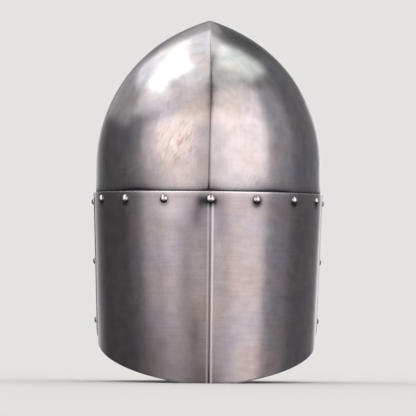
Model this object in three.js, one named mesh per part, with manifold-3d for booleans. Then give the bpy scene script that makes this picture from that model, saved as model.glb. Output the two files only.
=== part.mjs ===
// A sugarloaf great helm in sheet steel, in millimetres: a pointed, ridged crown, a back plate and a longer
// face plate, held together by dome-headed rivets. It stands as it rests by itself, on the blunt point of the
// face plate and the heel of the back plate, so it leans back a little.
//
// Every piece is worked out in the helm's own upright frame: +Z up the axis, +Y to the back of the head, -Y
// to the face, +X to the wearer's left, and z = 0 at the top edge of the lower plates. Last, it is leaned.

import * as THREE from "three";
import { mergeVertices } from "three/addons/utils/BufferGeometryUtils.js";
import Module from "manifold-3d";

const wasm = await Module();
wasm.setup();

const { degToRad, lerp, smoothstep } = THREE.MathUtils;

// Sheet, and the clearance between its layers
const SHEET = 1.2;
const GAP = 0.3;

// Plan of the crown's foot, outside: ridged arcs to the back and to the face that meet at the widest place
const HALF_WIDTH = 111;
const BACK_DEPTH = 132;
const FACE_DEPTH = 142;

// Outline of the crown from behind: an upright wall, then two arcs on each side up to the point
const CROWN_SKIRT = 20;
const CROWN_WALL = 26;
const LOWER_ARC_RADIUS = 150;
const LOWER_ARC_TURN = degToRad(59);
const UPPER_ARC_RADIUS = 248;

// Lower plates: how far they hang below z = 0, and how they narrow on the way down
const SIDE_DROP = 143;
const BACK_DROP = 165;
const FACE_DROP = 218;
const BACK_EDGE_BOW = 0.5;
const SIDE_TAPER = 0.034;
const HEEL_HALF = 24;
const POINT_HALF = 7;

// Side seams, where the face plate laps over the back plate
const LAP_BEHIND_SIDE = 7;
const LAP_BEFORE_SIDE = 13;
const LAP_CLEAR = 2;
const LAP_STEP_RUN = 25;
const LAP_TOP_CORNER = 5;
const LAP_FOOT_CORNER = 10;

// Rivets: runs go along a plate from its ridge, and drops go down from z = 0
const HEAD_RADIUS = 3.8;
const HEAD_HEIGHT = 2.7;
const SHANK_RADIUS = 2;
const FOOT_RADIUS = 3.1;
const FOOT_TAPER = 0.8;
const FOOT_HEIGHT = 0.9;
const FOOT_GAP = 0.5;
const ROW_DROP = 6.8;
const BACK_ROW_RUNS = [-131, -86, -42, 0, 42, 86, 131];
const FACE_ROW_RUNS = [-138, -91, -45, 0, 45, 91, 138];
const SEAM_DROPS = [9, 68, 127];
const SEAM_BEFORE_SIDE = 2;

// Sights and breaths, cut through the face plate
const SIGHT_DROP = 33;
const SIGHT_HEIGHT = 10;
const SIGHT_NEAR = 9;
const SIGHT_FAR = 80;
const BREATH_RADIUS = 3;
const BREATH_COLUMNS = 4;
const BREATH_FIRST_RUN = 24;
const BREATH_PITCH = 15;
const BREATH_ROWS = 3;
const BREATH_FIRST_DROP = 84;
const BREATH_ROW_PITCH = 13;

// Facets
const QUARTER_STEPS = 13;
const LOWER_ARC_STEPS = 9;
const UPPER_ARC_STEPS = 3;
const PLATE_STEPS = 4;
const RIVET_SIDES = 10;
const DOME_STEPS = 3;
const HOLE_SIDES = 8;
const CORNER_STEPS = 3;
const SLOT_END_STEPS = 6;
const DRILL_LENGTH = 40;
const WELD = 1e-4;

const PLATE_STEEL = new THREE.MeshStandardMaterial({ color: 0x9b9597, metalness: 1, roughness: 0.34 });
const RIVET_STEEL = new THREE.MeshStandardMaterial({ color: 0xa8a5a6, metalness: 1, roughness: 0.25 });
const SPINDLE = new THREE.Vector3(0, 1, 0);

// One half of the plan: an arc that leaves the ridge at a slant and ends square to the side.
function ridgedArc(depth, facing) {
  const shift = (depth ** 2 - HALF_WIDTH ** 2) / (2 * HALF_WIDTH);
  const radius = HALF_WIDTH + shift;
  const start = Math.asin(shift / radius);
  return { shift, radius, start, facing, length: radius * (Math.PI / 2 - start) };
}

const BACK = ridgedArc(BACK_DEPTH, 1);
const FACE = ridgedArc(FACE_DEPTH, -1);
const HALF_ROUND = BACK.length + FACE.length;

// A place on the plan, by its signed run from the back or the face ridge: its point and its outward normal.
// On a ridge the normal is longer, so that a wall keeps its thickness, and ridge is the slant of its slopes.
function placeAt(home, run) {
  const away = home === BACK ? FACE : BACK;
  const side = run < 0 ? -1 : 1;
  const past = Math.abs(run) > home.length;
  const arc = past ? away : home;
  const along = past ? HALF_ROUND - Math.abs(run) : Math.abs(run);
  const turn = arc.start + along / arc.radius;
  const spread = side * (arc.radius * Math.sin(turn) - arc.shift);
  const point = new THREE.Vector2(spread, arc.facing * arc.radius * Math.cos(turn));
  const normal = new THREE.Vector2(side * Math.sin(turn), arc.facing * Math.cos(turn));
  if (along < WELD) {
    point.x = 0;
    normal.set(0, arc.facing / Math.cos(arc.start));
  }
  return { point, normal, ridge: along < WELD ? arc.start : 0 };
}

// A level of the helm: the plan's scale there, and how far the wall has turned in from upright.
function plateLevel(z) {
  return { z, scaleX: 1 + (SIDE_TAPER * z) / HALF_WIDTH, scaleY: 1, turn: 0 };
}

function crownLevel(z, halfWidth, turn) {
  return { z, scaleX: halfWidth / HALF_WIDTH, scaleY: halfWidth / HALF_WIDTH, turn };
}

// The point over a place at a level, moved out from the crown's outer face by an offset.
function wallPoint(place, level, offset) {
  const { point, normal } = place;
  const rise = (Math.tan(level.turn) * point.dot(normal)) / HALF_WIDTH;
  const out = offset / Math.hypot(1, rise);
  return new THREE.Vector3(
    point.x * level.scaleX + out * normal.x,
    point.y * level.scaleY + out * normal.y,
    level.z + out * rise,
  );
}

// The crown's levels from just under its point down to its skirt, and the point's height outside and inside.
function crownOutline() {
  const levels = [plateLevel(-CROWN_SKIRT), crownLevel(0, HALF_WIDTH, 0)];
  for (let i = 0; i <= LOWER_ARC_STEPS; i++) {
    const turn = (LOWER_ARC_TURN * i) / LOWER_ARC_STEPS;
    const halfWidth = HALF_WIDTH - LOWER_ARC_RADIUS * (1 - Math.cos(turn));
    levels.push(crownLevel(CROWN_WALL + LOWER_ARC_RADIUS * Math.sin(turn), halfWidth, turn));
  }
  const radiusStep = UPPER_ARC_RADIUS - LOWER_ARC_RADIUS;
  const centreShift = HALF_WIDTH - LOWER_ARC_RADIUS - radiusStep * Math.cos(LOWER_ARC_TURN);
  const centreZ = CROWN_WALL - radiusStep * Math.sin(LOWER_ARC_TURN);
  const pointTurn = Math.acos(-centreShift / UPPER_ARC_RADIUS);
  for (let i = 1; i < UPPER_ARC_STEPS; i++) {
    const turn = lerp(LOWER_ARC_TURN, pointTurn, i / UPPER_ARC_STEPS);
    const halfWidth = centreShift + UPPER_ARC_RADIUS * Math.cos(turn);
    levels.push(crownLevel(centreZ + UPPER_ARC_RADIUS * Math.sin(turn), halfWidth, turn));
  }
  const outerPoint = centreZ + UPPER_ARC_RADIUS * Math.sin(pointTurn);
  return { levels: levels.reverse(), outerPoint, innerPoint: outerPoint - SHEET / Math.sin(pointTurn) };
}

// The plates' lower edges, by the run from the ridge, before the point and the heel are blunted.
function backEdge(run) {
  const share = Math.min(1, Math.abs(run) / BACK.length);
  return -BACK_DROP + (BACK_DROP - SIDE_DROP) * share * (1 - BACK_EDGE_BOW + BACK_EDGE_BOW * share);
}

function faceEdge(run) {
  return -FACE_DROP + ((FACE_DROP - SIDE_DROP) * Math.abs(run)) / FACE.length;
}

// The surface that the helm rests on, which passes through the ends of the heel and of the blunt point.
const heelEnd = wallPoint(placeAt(BACK, HEEL_HALF), plateLevel(backEdge(HEEL_HALF)), GAP + SHEET);
const pointEnd = wallPoint(placeAt(FACE, POINT_HALF), plateLevel(faceEdge(POINT_HALF)), GAP + SHEET);
const REST_SLOPE = (heelEnd.z - pointEnd.z) / (heelEnd.y - pointEnd.y);

function restHeight(y) {
  return pointEnd.z + REST_SLOPE * (y - pointEnd.y);
}

// A solid from a closed geometry: shared vertices are merged, and triangles with no area are left out.
function solidFrom(geometry) {
  const bare = new THREE.BufferGeometry();
  bare.setAttribute("position", geometry.getAttribute("position"));
  bare.setIndex(geometry.index);
  const merged = mergeVertices(bare, WELD);
  const triangles = [];
  for (let i = 0; i < merged.index.count; i += 3) {
    const corners = [0, 1, 2].map((k) => merged.index.getX(i + k));
    if (new Set(corners).size === 3) triangles.push(...corners);
  }
  const vertProperties = Float32Array.from(merged.getAttribute("position").array);
  const triVerts = Uint32Array.from(triangles);
  return new wasm.Manifold(new wasm.Mesh({ numProp: 3, vertProperties, triVerts }));
}

// A named mesh from a solid.
function meshOf(name, solid, material) {
  const { vertProperties, triVerts } = solid.getMesh();
  const geometry = new THREE.BufferGeometry();
  geometry.setAttribute("position", new THREE.BufferAttribute(Float32Array.from(vertProperties), 3));
  geometry.setIndex(new THREE.BufferAttribute(Uint32Array.from(triVerts), 1));
  geometry.computeVertexNormals();
  const mesh = new THREE.Mesh(geometry, material);
  mesh.name = name;
  return mesh;
}

// Joins equal rings of points into a wall. A ring goes down the outer face and back up the inner one. A wall
// that goes all the way round joins its last ring to its first, and any other is capped at both ends.
function wallFrom(rings, allRound) {
  const size = rings[0].length;
  const index = [];
  const quad = (a, b, c, d) => index.push(a, b, c, a, c, d);
  const joins = allRound ? rings.length : rings.length - 1;
  for (let i = 0; i < joins; i++) {
    const here = i * size;
    const next = ((i + 1) % rings.length) * size;
    for (let k = 0; k < size; k++) {
      const after = (k + 1) % size;
      quad(here + k, next + k, next + after, here + after);
    }
  }
  if (!allRound) {
    const last = (rings.length - 1) * size;
    for (let k = 0; k < size / 2 - 1; k++) {
      const across = size - 1 - k;
      quad(k, k + 1, across - 1, across);
      quad(last + k, last + across, last + across - 1, last + k + 1);
    }
  }
  const geometry = new THREE.BufferGeometry().setFromPoints(rings.flat());
  geometry.setIndex(index);
  return solidFrom(geometry);
}

// The runs from the first mark to the last, through each mark, in even steps of about a given length.
function runsThrough(marks, step) {
  const runs = [marks[0]];
  for (let i = 1; i < marks.length; i++) {
    const parts = Math.max(1, Math.round((marks[i] - marks[i - 1]) / step));
    for (let k = 1; k <= parts; k++) runs.push(lerp(marks[i - 1], marks[i], k / parts));
  }
  return runs;
}

// How far a rounded corner cuts in, at a distance from the end of the edge.
function cornerCut(distance, radius) {
  const short = Math.max(0, radius - distance);
  return radius - Math.sqrt(radius ** 2 - short ** 2);
}

// One ring of a lower plate, from its top and bottom heights outside and the offset of its inner face. Its
// foot is cut parallel to the surface that the helm rests on, and nothing hangs below that surface.
function plateRing(place, top, edge, offset) {
  const outerY = wallPoint(place, plateLevel(0), offset + SHEET).y;
  const innerY = wallPoint(place, plateLevel(0), offset).y;
  const outerFoot = Math.max(edge, restHeight(outerY));
  const innerFoot = outerFoot + REST_SLOPE * (innerY - outerY);
  const outer = [];
  const inner = [];
  for (let i = 0; i <= PLATE_STEPS; i++) {
    const share = i / PLATE_STEPS;
    outer.push(wallPoint(place, plateLevel(lerp(top, outerFoot, share)), offset + SHEET));
    inner.push(wallPoint(place, plateLevel(lerp(top, innerFoot, share)), offset));
  }
  return [...outer, ...inner.reverse()];
}

function crownWall() {
  const { levels, outerPoint, innerPoint } = crownOutline();
  const backRuns = runsThrough([0, BACK.length], BACK.length / QUARTER_STEPS);
  const faceRuns = runsThrough([BACK.length, HALF_ROUND], FACE.length / QUARTER_STEPS);
  const half = [...backRuns, ...faceRuns.slice(1)];
  const otherHalf = half.slice(1, -1).reverse();
  const places = [...half.map((run) => placeAt(BACK, run)), ...otherHalf.map((run) => placeAt(BACK, -run))];
  const rings = places.map((place) => [
    new THREE.Vector3(0, 0, outerPoint),
    ...levels.map((level) => wallPoint(place, level, 0)),
    ...levels.map((level) => wallPoint(place, level, -SHEET)).reverse(),
    new THREE.Vector3(0, 0, innerPoint),
  ]);
  return wallFrom(rings, true);
}

function backWall() {
  const end = BACK.length + LAP_BEFORE_SIDE;
  const marks = [-end, -BACK.length, -HEEL_HALF, 0, HEEL_HALF, BACK.length, end];
  const runs = runsThrough(marks, BACK.length / QUARTER_STEPS);
  return wallFrom(
    runs.map((run) => plateRing(placeAt(BACK, run), 0, backEdge(run), GAP)),
    false,
  );
}

// The face plate lies on the back plate at the seams, and steps down onto the crown in front of them.
const LAP_STEP_TOP = FACE.length - LAP_BEFORE_SIDE - LAP_CLEAR;
const LAP_STEP_FOOT = LAP_STEP_TOP - LAP_STEP_RUN;

function faceOffset(run) {
  return GAP + (SHEET + GAP) * smoothstep(Math.abs(run), LAP_STEP_FOOT, LAP_STEP_TOP);
}

function faceWall() {
  const end = FACE.length + LAP_BEHIND_SIDE;
  const half = [POINT_HALF, LAP_STEP_FOOT, LAP_STEP_TOP, end - LAP_FOOT_CORNER];
  for (let i = 1; i <= CORNER_STEPS; i++) half.push(end - LAP_FOOT_CORNER * (1 - i / CORNER_STEPS) ** 2);
  const marks = [...half.map((run) => -run).reverse(), 0, ...half];
  const runs = runsThrough(marks, FACE.length / QUARTER_STEPS);
  const rings = runs.map((run) => {
    const fromEnd = end - Math.abs(run);
    const edge = faceEdge(run) + cornerCut(fromEnd, LAP_FOOT_CORNER);
    return plateRing(placeAt(FACE, run), -cornerCut(fromEnd, LAP_TOP_CORNER), edge, faceOffset(run));
  });
  return wallFrom(rings.reverse(), false);
}

// The turn from a spindle along +Y to a wall's outward normal.
function outwardTurn(place) {
  const normal = new THREE.Vector3(place.normal.x, place.normal.y, 0).normalize();
  return new THREE.Quaternion().setFromUnitVectors(SPINDLE, normal);
}

// A round bar through the walls at a place, to drill them.
function drillBar(place, z, radius) {
  const corner = radius / Math.cos(Math.PI / HOLE_SIDES);
  const bar = new THREE.CylinderGeometry(corner, corner, DRILL_LENGTH, HOLE_SIDES);
  bar.applyQuaternion(outwardTurn(place));
  bar.translate(...wallPoint(place, plateLevel(z), 0));
  return solidFrom(bar);
}

// A sight: a slot with round ends, cut straight back through one side of the face.
function sightBar(side) {
  const radius = SIGHT_HEIGHT / 2;
  const slot = new THREE.Shape();
  slot.absarc(SIGHT_FAR - radius, -SIGHT_DROP, radius, -Math.PI / 2, Math.PI / 2, false);
  slot.absarc(SIGHT_NEAR + radius, -SIGHT_DROP, radius, Math.PI / 2, (3 * Math.PI) / 2, false);
  const depth = 2 * FACE_DEPTH;
  const bar = new THREE.ExtrudeGeometry(slot, { depth, bevelEnabled: false, curveSegments: SLOT_END_STEPS });
  bar.rotateX(Math.PI / 2);
  if (side < 0) bar.rotateZ(Math.PI).translate(0, -depth, 0);
  return solidFrom(bar);
}

function breathBars() {
  const bars = [];
  for (const side of [-1, 1]) {
    for (let row = 0; row < BREATH_ROWS; row++) {
      for (let column = 0; column < BREATH_COLUMNS; column++) {
        const run = BREATH_FIRST_RUN + BREATH_PITCH * (column + (row % 2) / 2);
        const drop = BREATH_FIRST_DROP + BREATH_ROW_PITCH * row;
        bars.push(drillBar(placeAt(FACE, side * run), -drop, BREATH_RADIUS));
      }
    }
  }
  return bars;
}

// Every rivet: its name, place and height, the walls it goes through, the offset of the face that its head
// sits on, and the depth of sheet that it grips.
function rivetTable() {
  const rows = [];
  const addRow = (name, home, runs, plate, offsetAt) => {
    runs.forEach((run, i) => {
      const place = placeAt(home, run);
      const walls = ["crown", plate];
      const seat = offsetAt(run) + SHEET;
      rows.push({ name: `${name}_${i + 1}`, place, z: -ROW_DROP, walls, seat, grip: seat + SHEET });
    });
  };
  addRow("back_rivet", BACK, BACK_ROW_RUNS, "back_plate", () => GAP);
  addRow("face_rivet", FACE, FACE_ROW_RUNS, "face_plate", faceOffset);
  const seat = 2 * (SHEET + GAP);
  for (const side of [1, -1]) {
    const name = side > 0 ? "left_seam_rivet" : "right_seam_rivet";
    const place = placeAt(FACE, side * (FACE.length - SEAM_BEFORE_SIDE));
    SEAM_DROPS.forEach((drop, i) => {
      const throughCrown = drop < CROWN_SKIRT;
      const walls = throughCrown ? ["crown", "back_plate", "face_plate"] : ["back_plate", "face_plate"];
      const grip = throughCrown ? seat + SHEET : seat - GAP;
      rows.push({ name: `${name}_${i + 1}`, place, z: -drop, walls, seat, grip });
    });
  }
  return rows;
}

// A rivet turned about its own spindle: a hammered foot inside, a shank, and a domed head a hair clear of the
// sheet. Inside a ridge the foot sits deeper, clear of the two slopes.
function rivetSolid({ place, grip }) {
  const footTop = -grip - FOOT_GAP - FOOT_RADIUS * Math.tan(place.ridge);
  const domeRadius = (HEAD_RADIUS ** 2 + HEAD_HEIGHT ** 2) / (2 * HEAD_HEIGHT);
  const domeTurn = Math.asin(HEAD_RADIUS / domeRadius);
  const domeCentre = GAP + HEAD_HEIGHT - domeRadius;
  const profile = [
    new THREE.Vector2(0, footTop - FOOT_HEIGHT),
    new THREE.Vector2(FOOT_RADIUS * FOOT_TAPER, footTop - FOOT_HEIGHT),
    new THREE.Vector2(FOOT_RADIUS, footTop),
    new THREE.Vector2(SHANK_RADIUS, footTop),
    new THREE.Vector2(SHANK_RADIUS, GAP),
  ];
  for (let i = 0; i <= DOME_STEPS; i++) {
    const turn = domeTurn * (1 - i / DOME_STEPS);
    profile.push(new THREE.Vector2(domeRadius * Math.sin(turn), domeCentre + domeRadius * Math.cos(turn)));
  }
  return solidFrom(new THREE.LatheGeometry(profile, RIVET_SIDES));
}

// The helm
const walls = { crown: crownWall(), back_plate: backWall(), face_plate: faceWall() };
const rivets = rivetTable();
for (const rivet of rivets) {
  const bar = drillBar(rivet.place, rivet.z, SHANK_RADIUS + GAP);
  for (const name of rivet.walls) walls[name] = walls[name].subtract(bar);
}
for (const bar of [sightBar(-1), sightBar(1), ...breathBars()]) {
  walls.face_plate = walls.face_plate.subtract(bar);
}

const helm = new THREE.Group();
for (const [name, solid] of Object.entries(walls)) helm.add(meshOf(name, solid, PLATE_STEEL));
for (const rivet of rivets) {
  const mesh = meshOf(rivet.name, rivetSolid(rivet), RIVET_STEEL);
  mesh.position.copy(wallPoint(rivet.place, plateLevel(rivet.z), rivet.seat));
  mesh.quaternion.copy(outwardTurn(rivet.place));
  helm.add(mesh);
}

// It leans back onto its heel, and stands over the middle of its own outline.
const part = new THREE.Group();
part.add(helm);
helm.rotation.x = -Math.atan(REST_SLOPE);
const box = new THREE.Box3().setFromObject(part, true);
helm.position.set(0, -(box.min.y + box.max.y) / 2, -box.min.z);

export default part;
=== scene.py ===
import math

import bpy
import numpy as np
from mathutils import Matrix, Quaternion, Vector


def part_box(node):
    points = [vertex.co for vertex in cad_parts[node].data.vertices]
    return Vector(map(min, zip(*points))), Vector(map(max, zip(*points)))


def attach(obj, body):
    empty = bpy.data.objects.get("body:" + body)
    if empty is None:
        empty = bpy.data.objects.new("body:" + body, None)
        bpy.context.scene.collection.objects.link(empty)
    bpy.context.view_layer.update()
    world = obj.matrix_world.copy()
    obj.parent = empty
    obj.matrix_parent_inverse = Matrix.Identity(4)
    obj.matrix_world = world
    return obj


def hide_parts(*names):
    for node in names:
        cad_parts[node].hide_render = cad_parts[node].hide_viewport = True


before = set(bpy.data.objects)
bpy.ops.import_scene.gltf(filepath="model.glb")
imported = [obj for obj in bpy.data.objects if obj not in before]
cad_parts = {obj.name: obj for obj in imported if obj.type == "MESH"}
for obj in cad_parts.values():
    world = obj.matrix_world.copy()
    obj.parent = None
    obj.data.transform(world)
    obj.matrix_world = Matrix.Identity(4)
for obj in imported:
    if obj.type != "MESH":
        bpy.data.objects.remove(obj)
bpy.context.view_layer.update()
scene = bpy.context.scene

# The helm is worked out upright, in millimetres: +Z up its axis, +Y to the back of the head, -Y to the face,
# +X to the wearer's left, and z = 0 at the top edge of the lower plates. Last, it leans onto its heel.
# A run is a distance along the plan from a ridge, positive to the wearer's left.
MM = 0.001

# Sheet and plan
SHEET = 1.2
GAP = 0.3
HALF_WIDTH = 111.0
BACK_DEPTH = 132.0
FACE_DEPTH = 142.0

# Crown: two arcs, a straight wall, and a skirt inside the lower plates
CROWN_SKIRT = 20.0
CROWN_WALL = 26.0
LOWER_ARC_RADIUS = 150.0
LOWER_ARC_TURN = math.radians(59)
UPPER_ARC_RADIUS = 248.0

# Lower plates: how far they hang down, how the back's edge bows, and the flats that the helm rests on
SIDE_DROP = 143.0
BACK_DROP = 165.0
FACE_DROP = 218.0
BACK_EDGE_BOW = 0.5
SIDE_TAPER = 0.034
HEEL_HALF = 24.0
POINT_HALF = 7.0

# Side laps: how far the face plate goes behind the widest place and the back plate before it, and the step
LAP_BEHIND_SIDE = 7.0
LAP_BEFORE_SIDE = 13.0
LAP_CLEAR = 2.0
LAP_STEP_RUN = 25.0
LAP_TOP_CORNER = 5.0
LAP_FOOT_CORNER = 10.0

# Rivets: head, shank and hammered foot, and where they sit
HEAD_RADIUS = 3.8
HEAD_HEIGHT = 2.7
HEAD_SUNK = 0.3
NECK_FILLET = 0.1
SHANK_RADIUS = 2.0
FOOT_RADIUS = 3.1
FOOT_FLAT_RADIUS = 0.55 * FOOT_RADIUS
FOOT_SHOULDER_RADIUS = 0.9 * FOOT_RADIUS
FOOT_HEIGHT = 0.9
FOOT_SHOULDER_HEIGHT = 0.6 * FOOT_HEIGHT
FOOT_CLEAR = 0.1
ROW_DROP = 6.8
BACK_ROW_RUNS = (-131, -86, -42, 0, 42, 86, 131)
FACE_ROW_RUNS = (-138, -91, -45, 0, 45, 91, 138)
SEAM_DROPS = (9, 68, 127)
SEAM_BEFORE_SIDE = 2.0

# Sights and breaths
SIGHT_DROP = 33.0
SIGHT_HEIGHT = 10.0
SIGHT_NEAR = 9.0
SIGHT_FAR = 80.0
BREATH_RADIUS = 3.0
BREATH_COLUMNS = 4
BREATH_FIRST_RUN = 24.0
BREATH_PITCH = 15.0
BREATH_ROWS = 3
BREATH_FIRST_DROP = 84.0
BREATH_ROW_PITCH = 13.0

# How far the hammered ridges and the point are rounded, over what reach, and how the sheet's edges are filed
CROWN_RIDGE_EASE = 0.9
PLATE_RIDGE_EASE = 1.5
RIDGE_EASE_REACH = 30.0
POINT_EASE = 1.0
POINT_EASE_REACH = 14.0
EDGE_ROUND = 0.45
EDGE_SQUARENESS = 3.0

# Points that agree to this are welded into one
WELD = 1e-4
# Added to the ease, so that nothing is divided by zero on the ridge itself
TINY = 1e-9


def bell(distance, reach):
    """A bell curve: 1 at no distance, and 1 / e at the reach."""
    return np.exp(-((distance / reach) ** 2))


def smooth_step(x, low, high):
    """0 at low and 1 at high, level at both: 3 t squared less 2 t cubed, where t is the share of the way."""
    t = np.clip((x - low) / (high - low), 0, 1)
    return t * t * (3 - 2 * t)


def graded(marks, steps):
    """Numbers from the first mark to the last, through each mark, in so many even steps between two marks."""
    spans = [np.linspace(a, b, n, endpoint=False) for a, b, n in zip(marks[:-1], marks[1:], steps)]
    return np.concatenate([*spans, marks[-1:]])


class RidgedArc:
    """Half of the plan: an arc that leaves the ridge at a slant and ends square to the side."""

    def __init__(self, depth, facing):
        self.shift = (depth**2 - HALF_WIDTH**2) / (2 * HALF_WIDTH)
        self.radius = HALF_WIDTH + self.shift
        self.start = math.asin(self.shift / self.radius)
        self.length = self.radius * (math.pi / 2 - self.start)
        self.facing = facing


BACK = RidgedArc(BACK_DEPTH, 1)
FACE = RidgedArc(FACE_DEPTH, -1)
HALF_ROUND = BACK.length + FACE.length
LAP_STEP_TOP = FACE.length - LAP_BEFORE_SIDE - LAP_CLEAR
LAP_STEP_FOOT = LAP_STEP_TOP - LAP_STEP_RUN


def place_at(home, run, ease=0.0):
    """Plan points and outward normals at signed runs from a ridge: the arc's sine and cosine of
    start + run / radius. Where the run sets the depth, it is the root of its own square plus the ease's."""
    run = np.asarray(run, float)
    away = FACE if home is BACK else BACK
    side = np.where(run < 0, -1.0, 1.0)
    past = np.abs(run) > home.length
    along = np.where(past, HALF_ROUND - np.abs(run), np.abs(run))
    radius = np.where(past, away.radius, home.radius)
    start = np.where(past, away.start, home.start)
    shift = np.where(past, away.shift, home.shift)
    facing = np.where(past, away.facing, home.facing)
    soft = ease * bell(along, RIDGE_EASE_REACH) + TINY
    eased = np.hypot(along, soft)
    across = start + along / radius
    deep = start + eased / radius
    x = side * (radius * np.sin(across) - shift)
    y = facing * radius * np.cos(deep)
    nx = side * np.sin(deep) * along / eased
    ny = facing * np.cos(across)
    length = np.hypot(nx, ny)
    return x, y, nx / length, ny / length


def wall(place, scale_x, scale_y, z, slope, offset):
    """Points over plan places: the plan scaled, then moved out along the wall's normal, which the slope
    lifts."""
    x, y, nx, ny = place
    rise = slope * (x * nx + y * ny) / HALF_WIDTH
    out = offset / np.hypot(1, rise)
    return np.stack(np.broadcast_arrays(x * scale_x + out * nx, y * scale_y + out * ny, z + out * rise), -1)


def plate_wall(place, z, offset):
    """A wall of the lower plates: upright at the ridges, drawn in a little at the sides on the way down."""
    return wall(place, 1 + SIDE_TAPER * z / HALF_WIDTH, 1.0, z, 0.0, offset)


def back_edge(run):
    """The back plate's lower edge: it rises from ridge to sides, by a mix of the run and its square."""
    share = np.minimum(1, np.abs(run) / BACK.length)
    return -BACK_DROP + (BACK_DROP - SIDE_DROP) * share * (1 - BACK_EDGE_BOW + BACK_EDGE_BOW * share)


def face_edge(run):
    """The face plate's lower edge: it rises evenly with the run, from the point to the sides."""
    return -FACE_DROP + (FACE_DROP - SIDE_DROP) * np.abs(run) / FACE.length


heel_end = plate_wall(place_at(BACK, HEEL_HALF), back_edge(HEEL_HALF), GAP + SHEET)
point_end = plate_wall(place_at(FACE, POINT_HALF), face_edge(POINT_HALF), GAP + SHEET)
REST_SLOPE = (heel_end[2] - point_end[2]) / (heel_end[1] - point_end[1])
LEAN = math.atan(REST_SLOPE)


def rest_height(y):
    """The height of the floor under the leaning helm: a straight slope through the heel and the point."""
    return point_end[2] + REST_SLOPE * (y - point_end[1])


# The point's foremost corner sets how far the leaning helm is moved along Y, and its foot sets how far up
corner_y = -FACE_DEPTH - (GAP + SHEET) / math.cos(FACE.start)
corner_z = rest_height(corner_y)
MOVE_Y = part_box("face_plate")[0][1] / MM - corner_y * math.cos(LEAN) - corner_z * math.sin(LEAN)
MOVE_Z = corner_y * math.sin(LEAN) - corner_z * math.cos(LEAN)


def at_rest(points):
    """Upright millimetres to the leaning helm's metres: a turn about X by the lean, then a move."""
    x, y, z = np.moveaxis(np.asarray(points, float), -1, 0)
    c, s = math.cos(LEAN), math.sin(LEAN)
    return np.stack([x, y * c + z * s + MOVE_Y, -y * s + z * c + MOVE_Z], -1) * MM


# Planishing: a few slow waves of hammer work, the same in every layer of sheet, so that layers keep their gap
WAVE_COUNT = 28
WAVE_SHORTEST = 26
WAVE_LONGEST = 95
WAVE_STEEPNESS = 0.0011
WAVE_UNEVENNESS = (0.5, 1.4)
HAND_SEED = 1340
rng = np.random.default_rng(HAND_SEED)
wave_turn = rng.normal(size=(WAVE_COUNT, 3))
wave_turn /= np.linalg.norm(wave_turn, axis=1, keepdims=True)
wave_length = rng.uniform(WAVE_SHORTEST, WAVE_LONGEST, WAVE_COUNT)
wave_phase = rng.uniform(0, 2 * math.pi, WAVE_COUNT)
wave_height = WAVE_STEEPNESS * wave_length / math.sqrt(WAVE_COUNT)
wave_height *= rng.uniform(*WAVE_UNEVENNESS, WAVE_COUNT)


def hammered(points, place, share=1.0):
    """Points moved along the plan's normals by the waves: a sum of cosines, each along its own direction."""
    turn = points @ (wave_turn * (2 * math.pi / wave_length)[:, None]).T
    wave = np.cos(turn + wave_phase) @ wave_height * share
    _, _, nx, ny = place
    return points + wave[..., None] * np.stack(np.broadcast_arrays(nx, ny, 0 * nx), -1)


def grid_quads(rows, columns, closed_rows=False, closed_columns=False):
    """The four corners of each cell of a grid, by number. A closed way joins its last line to its first."""
    i = np.arange(rows if closed_rows else rows - 1)[:, None] * columns
    j = np.arange(columns if closed_columns else columns - 1)[None, :]
    i2 = (i + columns) % (rows * columns)
    j2 = (j + 1) % columns
    return np.stack(np.broadcast_arrays(i + j, i2 + j, i2 + j2, i + j2), -1).reshape(-1, 4)


def build_mesh(name, points, quads, marks, materials, painted=None):
    """A closed mesh from grid points in upright millimetres: equal points are welded, and a quad that has
    lost a corner becomes a triangle. marks are numbers at the points, and painted says which quads are on
    the inside."""
    flat = points.reshape(-1, 3)
    steps = np.round(flat / WELD).astype(np.int64)
    _, first, same = np.unique(steps, axis=0, return_index=True, return_inverse=True)
    corners = same.reshape(-1)[quads]
    lost = corners == np.roll(corners, -1, axis=1)
    inside = np.zeros(len(quads), int) if painted is None else painted.astype(int)
    whole = ~lost.any(1)
    faces, slots = [corners[whole]], [inside[whole]]
    for k in range(4):
        hit = lost[:, k] & (lost.sum(1) == 1)
        faces.append(np.delete(corners[hit], k, axis=1))
        slots.append(inside[hit])
    mesh = bpy.data.meshes.new(name)
    face_list = [face for block in faces for face in block.tolist()]
    mesh.from_pydata(at_rest(flat[first]), [], face_list, shade_flat=False)
    mesh.polygons.foreach_set("material_index", np.concatenate(slots).astype(np.int32))
    for key, values in marks.items():
        layer = mesh.attributes.new(key, "FLOAT", "POINT")
        shown = np.clip(values, 0, 1).reshape(-1)[first]
        layer.data.foreach_set("value", np.ascontiguousarray(shown, np.float32))
    for material in materials:
        mesh.materials.append(material)
    mesh.update()
    piece = bpy.data.objects.new(name, mesh)
    scene.collection.objects.link(piece)
    return piece


def filed_edge(count):
    """A filed edge of the sheet: a squarish half ring, as shares across the sheet from outside (1) to
    inside (0) and distances past the edge's foot. Both are powers of the sine and cosine of a half turn."""
    turn = np.linspace(0, math.pi, count)
    power = 2 / EDGE_SQUARENESS
    across = 0.5 + 0.5 * np.sign(np.cos(turn)) * np.abs(np.cos(turn)) ** power
    return across, EDGE_ROUND * np.abs(np.sin(turn)) ** power


# Materials

# A colour Mix node's sockets by number, and its settings for laying one colour over another and for darkening
UNDER, OVER, MIXED = 6, 7, 2
LAID_OVER = {"data_type": "RGBA"}
DARKENED = {"data_type": "RGBA", "blend_type": "MULTIPLY"}


def hex_to_linear(code):
    """A screen colour such as 9b9597 as linear red, green, blue and an alpha of 1."""
    screen = np.array([int(code[i : i + 2], 16) for i in (0, 2, 4)]) / 255
    linear = np.where(screen <= 0.04045, screen / 12.92, ((screen + 0.055) / 1.055) ** 2.4)
    return (*linear.tolist(), 1.0)


def grey(value):
    """A linear grey with an alpha of 1."""
    return (value, value, value, 1.0)


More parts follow.
